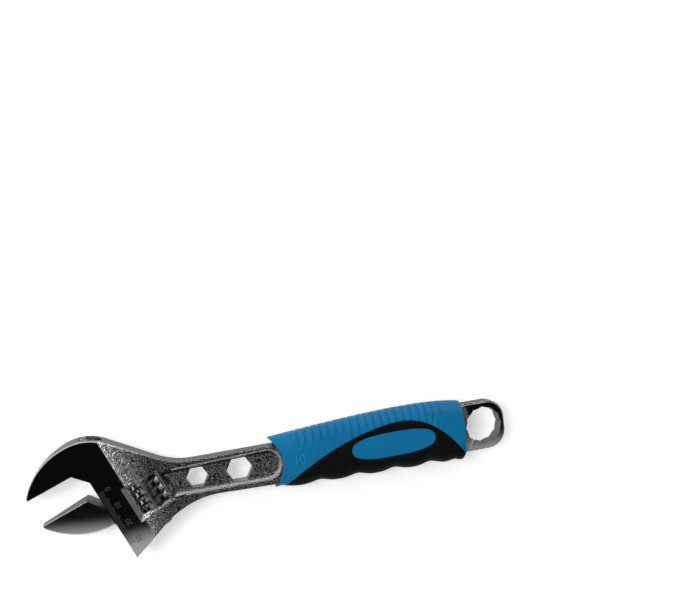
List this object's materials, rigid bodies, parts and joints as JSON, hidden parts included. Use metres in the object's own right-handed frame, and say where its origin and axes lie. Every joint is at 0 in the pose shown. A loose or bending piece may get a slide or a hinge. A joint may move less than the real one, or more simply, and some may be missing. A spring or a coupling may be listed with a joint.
{
  "type": "adjustable wrench",
  "caption": "Adjustable wrench with a sliding jaw driven by a knurled worm, a ring end, two hexagon holes in the shank and a two-material grip.",
  "frame": {"origin": "under the middle of the wrench's length and width, on the surface it lies on", "axes": "+X along the handle from the jaws to the ring end, +Y from the finger side to the fixed jaw's side, +Z out of the front face"},
  "size_m": [0.2526, 0.0624, 0.0178],
  "materials": {
    "chromed_steel": "satin",
    "worm_steel": "satin",
    "pin_steel": "satin",
    "spring_steel": "satin",
    "blue_plastic": "satin",
    "black_rubber": "matte"
  },
  "bodies": {
    "body": {"frame": "chromed_steel", "worm_pin": "pin_steel", "worm_spring": "spring_steel", "grip_sleeve": "blue_plastic", "grip_overmould": "black_rubber"},
    "jaw": {"movable_jaw": "chromed_steel"},
    "worm": {"worm": "worm_steel"}
  },
  "joints": [
    {"name": "jaw_slide", "type": "slide", "parent": "body", "child": "jaw", "axis": [-0.3827, 0.9239, 0], "range_m": [-0.0155, 0.0141]},
    {"name": "worm_spin", "type": "hinge", "parent": "body", "child": "worm", "pos_m": [-0.06846, -0.001, 0.0089], "axis": [-0.3827, 0.9239, 0], "range_deg": [-1300, 1300]}
  ],
  "couplings": [
    {"joint": "worm_spin", "follows": "jaw_slide", "rad_per_m": -1428}
  ]
}
